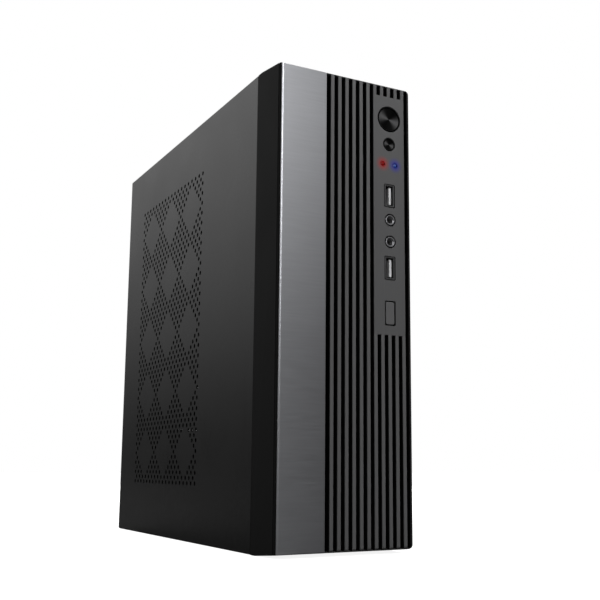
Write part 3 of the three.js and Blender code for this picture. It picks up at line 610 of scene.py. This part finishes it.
def lofted(name, sections, centre):
    """A closed piece along Y through rounded rectangles: half width and height, corner radius, depth."""
    shape = bmesh.new()
    rings = []
    for half_width, half_height, radius, depth in sections:
        outline = rounded_rectangle(half_width, half_height, radius)
        rings.append([shape.verts.new((x, depth, z)) for x, z in outline])
    for before, after in zip(rings, rings[1:]):
        for k in range(len(before)):
            following = (k + 1) % len(before)
            shape.faces.new([before[k], before[following], after[following], after[k]])
    shape.faces.new(rings[0])
    shape.faces.new(list(reversed(rings[-1])))
    bmesh.ops.recalc_face_normals(shape, faces=shape.faces)
    piece = as_object(shape, name)
    piece.location = centre
    return piece


def lathe(name, profile, centre, turns=96):
    """A piece turned about Y through centre; the profile is (radius, depth) from axis to axis."""
    shape = bmesh.new()
    rings = []
    for radius, depth in profile:
        if radius == 0:
            rings.append([shape.verts.new((0, depth, 0))] * turns)
            continue
        ring = []
        for k in range(turns):
            angle = 2 * math.pi * k / turns
            ring.append(shape.verts.new((radius * math.cos(angle), depth, radius * math.sin(angle))))
        rings.append(ring)
    for before, after in zip(rings, rings[1:]):
        for k in range(turns):
            corners = [before[k], before[(k + 1) % turns], after[(k + 1) % turns], after[k]]
            distinct = list(dict.fromkeys(corners))
            if len(distinct) > 2:
                shape.faces.new(distinct)
    bmesh.ops.recalc_face_normals(shape, faces=shape.faces)
    piece = as_object(shape, name)
    piece.location = centre
    return piece


# ------------------------------------------------------------------ side panel

VENT_PITCH = 3.925 * MM                 # half the hole spacing, in depth and in height
VENT_COUNT = (37, 61)
VENT_START = (LOW.y + 135.2 * MM, 42.5 * MM)
VENT_RADIUS = 1.64 * MM
VENT_CELL = 12                          # grid steps from one blank diamond to the next
VENT_BLANK = 6                          # steps from the middle of a blank diamond to its corners
PANEL_SHEET = 1 * MM


def vent_places():
    """Staggered holes on a half-pitch grid, leaving a blank diamond in the middle of each cell."""
    for i in range(VENT_COUNT[0]):
        for j in range(VENT_COUNT[1]):
            across = abs(i % VENT_CELL - VENT_CELL // 2)
            up = abs(j % VENT_CELL - VENT_CELL // 2)
            if (i + j) % 2 == 0 and across + up >= VENT_BLANK:
                yield VENT_START[0] + i * VENT_PITCH, VENT_START[1] + j * VENT_PITCH


def vent_cutter(x):
    """All the punches, as one mesh that crosses the panel's skin."""
    shape = bmesh.new()
    for y, z in vent_places():
        place = Matrix.Translation((x, y, z)) @ Matrix.Rotation(math.radians(90), 4, "Y")
        bmesh.ops.create_cone(shape, cap_ends=True, segments=14, matrix=place,
                              radius1=VENT_RADIUS, radius2=VENT_RADIUS, depth=4 * MM)
    return as_object(shape, "vent_punches")


def make_side_panel():
    panel = welded("side_panel")
    flattened(panel)
    round_edges(panel, 0.35 * MM, 2, 40)
    boolean(panel, vent_cutter(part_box("side_panel")[0].x + PANEL_SHEET / 2))
    finished(panel, SIDE_PAINT)
    stand_for(panel, "side_panel")


# ------------------------------------------------------------------ front

CLEAR = 1 * MM                          # how far a cutter goes past the surface that it cuts
CUTTER_REACH = 4 * MM                   # how far a cutter goes past the edge that it rounds
LOWER_ROUND = 2.8 * MM
UPPER_ROUND = 1 * MM
TRIM_ROUND = 2.8 * MM
BEZEL_SIDE = 1.2 * MM                   # faces this close to the edge belong to a side of the bezel


def flare(half, depth, radius, steps=4):
    """Outline of the rounded mouth of a groove, from outside its left fin to outside its right one."""
    right = [(half, depth + radius)]
    for k in range(1, steps + 1):
        angle = math.radians(90) * k / steps
        right.append((half + radius * (1 - math.cos(angle)), depth + radius * (1 - math.sin(angle))))
    right.append((half + radius, depth - CLEAR))
    return [(-u, v) for u, v in reversed(right)] + right


def groove_mouths():
    """Rounds the edges of the fins."""
    shape = bmesh.new()
    for k in range(GROOVE_COUNT):
        middle_x = GROOVE_FIRST + k * GROOVE_PITCH + GROOVE_WIDTH / 2
        spans = [GROOVE_ENDS]
        if k in STRIP_GROOVES:
            spans = [(GROOVE_ENDS[0], STRIP_ENDS[0]), (STRIP_ENDS[1], GROOVE_ENDS[1])]
        for low, high in spans:
            extruded(shape, flare(GROOVE_WIDTH / 2, LOW.y, FIN_ROUND), low, high,
                     lambda u, v, w, x=middle_x: (x + u, v, w))
    return as_object(shape, "groove_mouths")


def hole_mouth(node):
    """Rounds the edge of the round hole that a control sits in."""
    low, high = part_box(node)
    radius = (high.z - low.z) / 2 + HOLE_CLEARANCE[node]
    rounding = [(u, v) for u, v in flare(radius, 0, HOLE_ROUND) if u > 0]
    profile = [(0, HOLE_ROUND), *rounding, (0, -CLEAR)]
    return lathe("mouth", profile, (middle(node).x, LOW.y, middle(node).z))


def edge_cutter(corner, first, second, radius, ends, place, steps=8):
    """Prism that rounds the edge between two faces, which leave the corner along first and second."""
    half_angle = first.angle(second) / 2
    reach = radius / math.tan(half_angle)
    centre = corner + (first + second).normalized() * radius / math.sin(half_angle)
    start = corner + first * reach - centre
    finish = corner + second * reach - centre
    arc = [centre + start.slerp(finish, k / steps) * radius for k in range(steps + 1)]
    outside = [
        arc[-1] - first * CUTTER_REACH, corner - (first + second) * CUTTER_REACH,
        arc[0] - second * CUTTER_REACH]
    shape = bmesh.new()
    extruded(shape, [tuple(point) for point in arc + outside], *ends, place)
    return as_object(shape, "edge_cutter")


def crosswise_cutter(end, radius):
    """Rounds the lower (end 0) or upper (end 1) edge of the front face."""
    corner = Vector((LOW.y, FACE_ENDS[end]))
    up_face = Vector((0, (1, -1)[end]))
    back = Vector((1, FACE_SLOPE[end])).normalized()
    ends = (LOW.x - CLEAR, HIGH.x + CLEAR)
    return edge_cutter(corner, up_face, back, radius, ends, lambda u, v, w: (w, u, v))


def upright_cutter(radius):
    """Rounds the front face's left edge."""
    corner = Vector((LOW.x, LOW.y))
    ends = (LOW.z - CLEAR, HIGH.z + CLEAR)
    return edge_cutter(corner, Vector((1, 0)), Vector((0, 1)), radius, ends, lambda u, v, w: (u, v, w))


def make_bezel():
    """Dark front plastic; painted shade makes its sides (the left more than the right) and the inside of
    its grooves blacker.
    """
    bezel = welded("front_bezel")
    envelope = hull_of(bezel)
    round_edges(envelope, 0.4 * MM, 2, 35)
    boolean(bezel, envelope, "INTERSECT")
    boolean(bezel, crosswise_cutter(0, LOWER_ROUND))
    boolean(bezel, crosswise_cutter(1, UPPER_ROUND))
    boolean(bezel, groove_mouths())
    for node in HOLE_CLEARANCE:
        boolean(bezel, hole_mouth(node))
    looks = [MATERIALS["bezel_plastic"], SHADED_SIDE_PLASTIC, GROOVE_SHADE_PLASTIC, RIGHT_PLASTIC]
    finished(bezel, *looks)
    for face in bezel.data.polygons:
        outer = abs(face.center.x) > HIGH.x - BEZEL_SIDE
        behind = face.center.y > LOW.y + FIN_ROUND
        sideways = abs(face.normal.x) > 0.9
        forwards = face.normal.y < -0.9
        # painted shade: the sides take darker copies of the plastic, the left darker than the right
        if outer:
            face.material_index = looks.index(SHADED_SIDE_PLASTIC if face.center.x < 0 else RIGHT_PLASTIC)
        # painted shade: faces inside the grooves take the near-black plastic
        elif behind and (sideways or forwards):
            face.material_index = looks.index(GROOVE_SHADE_PLASTIC)
    stand_for(bezel, "front_bezel")


def make_trim():
    trim = welded("bezel_trim")
    envelope = hull_of(trim)
    round_edges(envelope, 0.7 * MM, 3, 35)
    boolean(trim, envelope, "INTERSECT")
    boolean(trim, upright_cutter(TRIM_ROUND))
    looks = [MATERIALS["trim_metal"], SHADED_SIDE_PLASTIC]
    finished(trim, *looks)
    for face in trim.data.polygons:
        # painted shade: the leftward part of the trim's rounded edge takes the dark side plastic instead
        # of the metal
        leftwards = face.normal.x < -0.5
        if leftwards:
            face.material_index = looks.index(SHADED_SIDE_PLASTIC)
    stand_for(trim, "bezel_trim")


def make_button(node, rim):
    """Spun face, slightly dished inside a polished rim of the given width."""
    low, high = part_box(node)
    x, z = middle(node).x, middle(node).z
    flange = (high.x - low.x) / 2
    radius = button_radius(node)
    face = radius - rim
    length = high.y - low.y
    profile = [(0, 0.55 * MM)]
    rings = 12
    for k in range(1, rings + 1):
        share = k / rings
        profile.append((face * share, 0.55 * MM - 0.2 * MM * share ** 2))
    rim_profile = [
        (face + 0.15 * MM, 0.12 * MM), (face + 0.35 * MM, 0.02 * MM), (radius - 0.35 * MM, 0.02 * MM),
        (radius - 0.1 * MM, 0.12 * MM), (radius, 0.4 * MM)]
    flange_profile = [(radius, 2.8 * MM), (flange, 2.8 * MM), (flange, 4 * MM)]
    stem_profile = [(2.2 * MM, 4 * MM), (2.2 * MM, length), (0, length)]
    profile += rim_profile + flange_profile + stem_profile
    piece = lathe(node + "_spun", profile, (x, low.y, z))
    smooth(piece, 25)
    paint(piece, spun_metal(node, rim))
    stand_for(piece, node)


def make_lens(node):
    """Domed end of a light pipe."""
    low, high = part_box(node)
    radius = (high.x - low.x) / 2
    length = high.y - low.y
    profile = [(0, 0)]
    steps = 6
    for k in range(1, steps + 1):
        share = k / steps
        profile.append((radius * share, 0.45 * MM * share ** 2))
    profile += [(radius, length), (0, length)]
    piece = lathe(node + "_dome", profile, (middle(node).x, low.y, middle(node).z), 40)
    smooth(piece, 40)
    paint(piece, MATERIALS[SLOT_OF[node]])
    stand_for(piece, node)


def make_jack(node):
    """Metal collar around a deep hole lined with plastic."""
    low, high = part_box(node)
    radius = (high.z - low.z) / 2
    centre = (middle(node).x, low.y, middle(node).z)
    length = high.y - low.y
    bore = 1.85 * MM
    collar = [
        (bore, 9 * MM), (bore, 1.3 * MM), (bore + 0.35 * MM, 0.6 * MM), (bore + 0.6 * MM, 0.5 * MM),
        (bore + 0.8 * MM, 0.25 * MM), (radius - 0.5 * MM, 0.05 * MM), (radius - 0.15 * MM, 0.15 * MM),
        (radius, 0.5 * MM), (radius, length), (0, length), (0, 13 * MM), (bore, 13 * MM), (bore, 9 * MM)]
    piece = lathe(node + "_collar", collar, centre, 64)
    smooth(piece, 28)
    paint(piece, MATERIALS["jack_metal"], MATERIALS["jack_lining"])
    for face in piece.data.polygons:
        if math.hypot(face.center.x, face.center.z) < bore:
            face.material_index = 1
    stand_for(piece, node)


def make_usb_shell(node):
    """Moulded frame of an upright USB socket, around a deep slot."""
    low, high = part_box(node)
    width, height = (high.x - low.x) / 2, (high.z - low.z) / 2
    length = high.y - low.y
    slot = (2.7 * MM, 6.7 * MM)
    sections = [
        (*slot, 0.3 * MM, length - 2 * MM), (*slot, 0.3 * MM, 0.45 * MM),
        (slot[0] + 0.25 * MM, slot[1] + 0.25 * MM, 0.5 * MM, 0.12 * MM),
        (width - 0.55 * MM, height - 0.55 * MM, 0.7 * MM, 0),
        (width - 0.15 * MM, height - 0.15 * MM, 0.8 * MM, 0.1 * MM),
        (width, height, 0.9 * MM, 0.45 * MM), (width, height, 0.8 * MM, length)]
    centre = middle(node)
    piece = lofted(node + "_frame", sections, (centre.x, low.y, centre.z))
    finished(piece, MATERIALS["port_plastic"])
    stand_for(piece, node)


def make_usb_tongue(node):
    """Pale contact carrier with softened edges."""
    low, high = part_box(node)
    width, height = (high.x - low.x) / 2 - 0.15 * MM, (high.z - low.z) / 2
    sections = [
        (width - 0.25 * MM, height - 0.25 * MM, 0.15 * MM, 0), (width, height, 0.3 * MM, 0.25 * MM),
        (width, height, 0.3 * MM, high.y - low.y)]
    centre = middle(node)
    piece = lofted(node + "_carrier", sections, (centre.x, low.y, centre.z))
    finished(piece, MATERIALS["tongue_plastic"])
    stand_for(piece, node)


def make_port_blank():
    """Plug of an unused port: a plain rounded cap with a soft edge."""
    low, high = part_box("port_blank")
    width, height = (high.x - low.x) / 2 - 0.55 * MM, (high.z - low.z) / 2 - 0.5 * MM
    sections = [
        (width - 0.3 * MM, height - 0.3 * MM, 0.9 * MM, 0.05 * MM),
        (width - 0.1 * MM, height - 0.1 * MM, 1.1 * MM, 0.13 * MM),
        (width, height, 1.2 * MM, 0.35 * MM), (width, height, 1.2 * MM, high.y - low.y)]
    centre = middle("port_blank")
    piece = lofted("port_blank_cap", sections, (centre.x, low.y, centre.z))
    finished(piece, MATERIALS["bezel_plastic"])
    stand_for(piece, "port_blank")


def make_front():
    make_bezel()
    make_trim()
    make_button("power_button", 0.9 * MM)
    make_button("reset_button", 0.7 * MM)
    make_lens("drive_led_lens")
    make_lens("power_led_lens")
    make_jack("headphone_jack")
    make_jack("microphone_jack")
    for level in ("upper", "lower"):
        make_usb_shell(f"front_usb_{level}")
        make_usb_tongue(f"front_usb_{level}_tongue")
    make_port_blank()


# ------------------------------------------------------------------ motherboard

# How many, half width, half height, corner radius and height off the board, in mm, and the material
BOARD_PARTS = (
    (14, 3, 3, 3, 7.5, "fin_aluminium"),
    (9, 3.4, 3.4, 0.8, 4, "drive_shell"),
    (7, 4.5, 4.5, 0.4, 1.2, "black_plastic"),
    (10, 2.4, 1.8, 0.3, 1, "black_plastic"),
    (90, 0.9, 0.5, 0.1, 0.6, "zinc_steel"),
)
BOARD_ROOM = 10 * MM                    # a node closer to the board than this takes up room on it
BOARD_MARGIN = 1 * MM                   # least gap around each part
BOARD_SINK = 0.2 * MM                   # how deep the foot of a part is in the board
PLACE_TRIES = 80


def standing_on(board):
    """Outlines, in depth and height, of the other CAD nodes that stand on the board's left face."""
    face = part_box(board)[0].x
    outlines = []
    for node in frame["nodes"]:
        low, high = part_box(node)
        if node != board and high.x > face - BOARD_ROOM and low.x < face:
            outlines.append((low.y, high.y, low.z, high.z))
    return outlines


def apart(one, other):
    """Whether two outlines (low y, high y, low z, high z) don't touch."""
    return one[1] < other[0] or one[0] > other[1] or one[3] < other[2] or one[2] > other[3]


def free_place(low, high, half_width, half_height, taken, chance):
    """A place on the board, clear of everything that stands there, or None."""
    across = half_width + BOARD_MARGIN
    up = half_height + BOARD_MARGIN
    for _ in range(PLACE_TRIES):
        y = chance.uniform(low.y + across, high.y - across)
        z = chance.uniform(low.z + up, high.z - up)
        outline = (y - across, y + across, z - up, z + up)
        if all(apart(outline, other) for other in taken):
            taken.append(outline)
            return y, z
    return None


def make_motherboard():
    """The board with its capacitors, coils, chips and small surface parts."""
    low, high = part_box("motherboard")
    shape = cad_shape("motherboard")
    materials = [MATERIALS["circuit_board"]]
    taken = standing_on("motherboard")
    chance = random.Random(4)
    for count, half_width, half_height, radius, rise, finish in BOARD_PARTS:
        if MATERIALS[finish] not in materials:
            materials.append(MATERIALS[finish])
        outline = rounded_rectangle(half_width * MM, half_height * MM, radius * MM, 4)
        for _ in range(count):
            place = free_place(low, high, half_width * MM, half_height * MM, taken, chance)
            if place is None:
                continue
            faces = extruded(shape, outline, low.x - rise * MM, low.x + BOARD_SINK,
                             lambda u, v, w, at=place: (w, at[0] + u, at[1] + v))
            for face in faces:
                face.material_index = materials.index(MATERIALS[finish])
    piece = as_object(shape, "motherboard_shape")
    smooth(piece)
    for material in materials:
        piece.data.materials.append(material)
    stand_for(piece, "motherboard")


# ------------------------------------------------------------------ rear wall and the rest

LOUVRE_COUNT = 15
LOUVRE_PITCH = 10 * MM
LOUVRE_FIRST = 95.5 * MM                # lower edge of the lowest air slot
LOUVRE_SLOT = 5 * MM
LOUVRE_ENDS = (-34.8 * MM, -4.2 * MM)
LOUVRE_DEPTH = 5 * MM
LOUVRE_DROP = 2.5 * MM                  # from the lower edge of its slot to the louvre's tip
LOUVRE_SHEET = 0.8 * MM
LOUVRE_ROOT = (0.5 * MM, 0.1 * MM)      # how deep in the wall it starts, and how far above its slot


def make_rear_wall():
    """Rear wall with a sloping louvre behind each air slot, so that no light shines straight through."""
    wall = welded("chassis_rear_wall")
    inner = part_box("chassis_rear_wall")[0].y
    blades = bmesh.new()
    for k in range(LOUVRE_COUNT):
        bottom = LOUVRE_FIRST + k * LOUVRE_PITCH
        root = (inner + LOUVRE_ROOT[0], bottom + LOUVRE_SLOT + LOUVRE_ROOT[1])
        tip = (inner - LOUVRE_DEPTH, bottom - LOUVRE_DROP)
        outline = [root, (root[0], root[1] + LOUVRE_SHEET), (tip[0], tip[1] + LOUVRE_SHEET), tip]
        extruded(blades, outline, *LOUVRE_ENDS, lambda u, v, w: (w, u, v))
    boolean(wall, as_object(blades, "louvres"), "UNION")
    finished(wall, MATERIALS[SLOT_OF["chassis_rear_wall"]])
    stand_for(wall, "chassis_rear_wall")


EDGE_ROUND = 0.15 * MM


def dress_remaining():
    """Copies of the other hard CAD nodes; the edges of the convex ones are rounded."""
    made = {piece["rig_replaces"][0] for piece in bpy.data.objects if "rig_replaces" in piece}
    for node in frame["nodes"]:
        if node not in made:
            refined(node, EDGE_ROUND)


make_side_panel()
make_front()
make_motherboard()
make_rear_wall()
dress_remaining()
# painted shade: the chassis front wall behind the grooves is painted near-black
paint(bpy.data.objects["chassis_front_wall_shape"], SHADE_BLACK_PAINT)


# ------------------------------------------------------------------ stage and light

# How bright the dome is: (sine of the height above the horizon, brightness)
DOME = ((0.0, 0.03), (0.087, 0.11), (0.26, 0.48), (0.42, 0.92), (0.75, 0.6))


def seen_apart(tree, for_light, for_camera):
    """Shader output that differs between camera rays and all others."""
    choose = tree.nodes.new("ShaderNodeMixShader")
    path = tree.nodes.new("ShaderNodeLightPath")
    tree.links.new(path.outputs["Is Camera Ray"], choose.inputs["Fac"])
    tree.links.new(for_light.outputs[0], choose.inputs[1])
    tree.links.new(for_camera.outputs[0], choose.inputs[2])
    return choose.outputs[0]


def make_world():
    """White backdrop for the camera; for the light, a soft dome that is dark at the horizon."""
    world = bpy.data.worlds.new("studio")
    bpy.context.scene.world = world
    world.use_nodes = True
    tree = world.node_tree
    tree.nodes.clear()
    direction = tree.nodes.new("ShaderNodeTexCoord")
    split = tree.nodes.new("ShaderNodeSeparateXYZ")
    tree.links.new(direction.outputs["Generated"], split.inputs[0])
    ramp = tree.nodes.new("ShaderNodeValToRGB")
    tree.links.new(split.outputs["Z"], ramp.inputs["Fac"])
    elements = ramp.color_ramp.elements
    while len(elements) < len(DOME):
        elements.new(0.5)
    for element, (place, brightness) in zip(elements, DOME):
        element.position = place
        element.color = (brightness, brightness, brightness, 1)
    dome = tree.nodes.new("ShaderNodeBackground")
    tree.links.new(ramp.outputs["Color"], dome.inputs["Color"])
    backdrop = tree.nodes.new("ShaderNodeBackground")
    backdrop.inputs["Color"].default_value = (1, 1, 1, 1)
    output = tree.nodes.new("ShaderNodeOutputWorld")
    tree.links.new(seen_apart(tree, dome, backdrop), output.inputs["Surface"])


FLOOR_WIDTH = 12
FLOOR_SEEN = 0.4                        # how much of the light on it the camera sees
FLOOR_GLOW = 0.88                       # added for the camera
FLOOR_BOUNCE = 0.07                     # how much it throws back at the object


def make_floor():
    """Pale floor that throws little light back up at the object."""
    bpy.ops.mesh.primitive_plane_add(size=FLOOR_WIDTH, location=(0, 0, 0))
    floor = bpy.context.object
    floor.name = "floor"
    material = bpy.data.materials.new("floor")
    material.use_nodes = True
    tree = material.node_tree
    tree.nodes.clear()
    seen = tree.nodes.new("ShaderNodeBsdfDiffuse")
    seen.inputs["Color"].default_value = (FLOOR_SEEN, FLOOR_SEEN, FLOOR_SEEN, 1)
    fill = tree.nodes.new("ShaderNodeEmission")
    fill.inputs["Strength"].default_value = FLOOR_GLOW
    pale = tree.nodes.new("ShaderNodeAddShader")
    tree.links.new(seen.outputs[0], pale.inputs[0])
    tree.links.new(fill.outputs[0], pale.inputs[1])
    bounce = tree.nodes.new("ShaderNodeBsdfDiffuse")
    bounce.inputs["Color"].default_value = (FLOOR_BOUNCE, FLOOR_BOUNCE, FLOOR_BOUNCE, 1)
    output = tree.nodes.new("ShaderNodeOutputMaterial")
    tree.links.new(seen_apart(tree, bounce, pale), output.inputs["Surface"])
    floor.data.materials.append(material)


def area_light(name, place, target, size, power, glossy):
    """Soft rectangular light; it either lights matt surfaces or shows as a reflection in glossy ones."""
    data = bpy.data.lights.new(name, "AREA")
    data.shape = "RECTANGLE"
    data.size, data.size_y = size
    data.energy = power
    light = bpy.data.objects.new(name, data)
    light.location = place
    light.rotation_euler = (Vector(target) - Vector(place)).to_track_quat("-Z", "Y").to_euler()
    light.visible_glossy = glossy
    light.visible_diffuse = not glossy
    bpy.context.scene.collection.objects.link(light)


make_world()
make_floor()
area_light("front_softbox", (0.3, -0.55, 0.8), target=(0, -0.16, 0.2),
           size=(0.5, 0.4), power=4, glossy=False)
area_light("front_strip", (-0.22, -2.0, 0.92), target=(-0.05, -0.16, 0.2),
           size=(0.35, 0.9), power=9, glossy=True)
area_light("left_fill", (-1.3, 0.45, 0.6), target=(0, 0, 0.16),
           size=(0.8, 0.8), power=14, glossy=False)
area_light("rear_softbox", (0.9, 1.5, 0.8), target=(0, 0.16, 0.16),
           size=(0.9, 0.9), power=45, glossy=False)

bpy.context.scene.view_settings.view_transform = "Standard"
